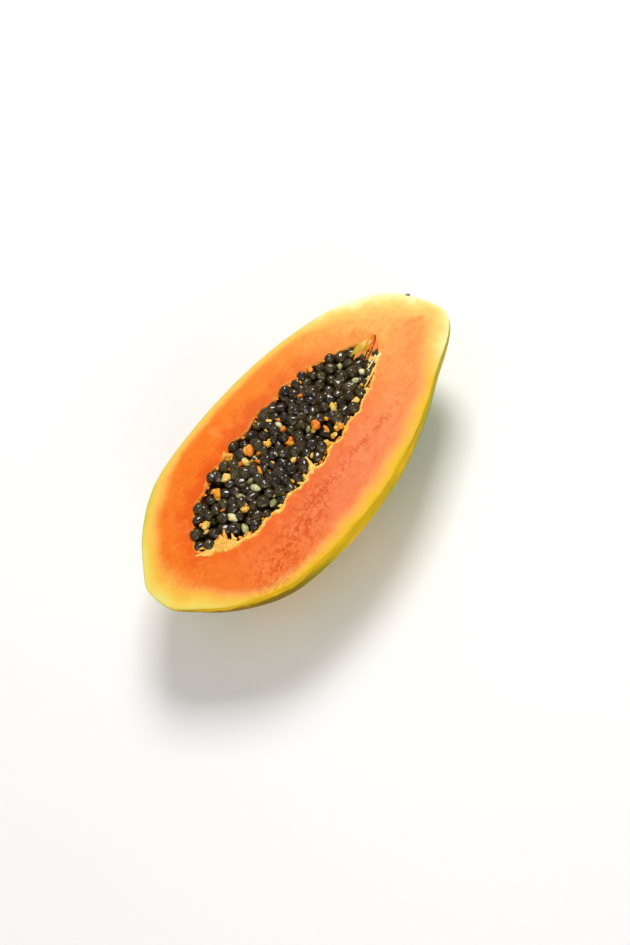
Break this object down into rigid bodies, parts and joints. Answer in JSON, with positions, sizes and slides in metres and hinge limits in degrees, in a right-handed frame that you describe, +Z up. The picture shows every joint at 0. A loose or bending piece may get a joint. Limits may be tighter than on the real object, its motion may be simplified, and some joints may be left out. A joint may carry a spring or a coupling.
{
  "type": "halved papaya",
  "caption": "Half of a ripe papaya cut lengthways, lying on its round back with orange flesh and a long hollow heaped with dark seeds.",
  "frame": {"origin": "middle of the half's box at the height of the flat spot that it rests on", "axes": "+Z up out of the level cut face, +X along the fruit towards the stem end"},
  "size_m": [0.2418, 0.1206, 0.0646],
  "materials": {
    "flesh_and_skin": "moist cut flesh, waxy yellow-green skin",
    "seeds": "wet, dark olive-brown"
  },
  "bodies": {
    "root": {"fruit_half": "flesh_and_skin", "seeds": "seeds"}
  },
  "joints": []
}
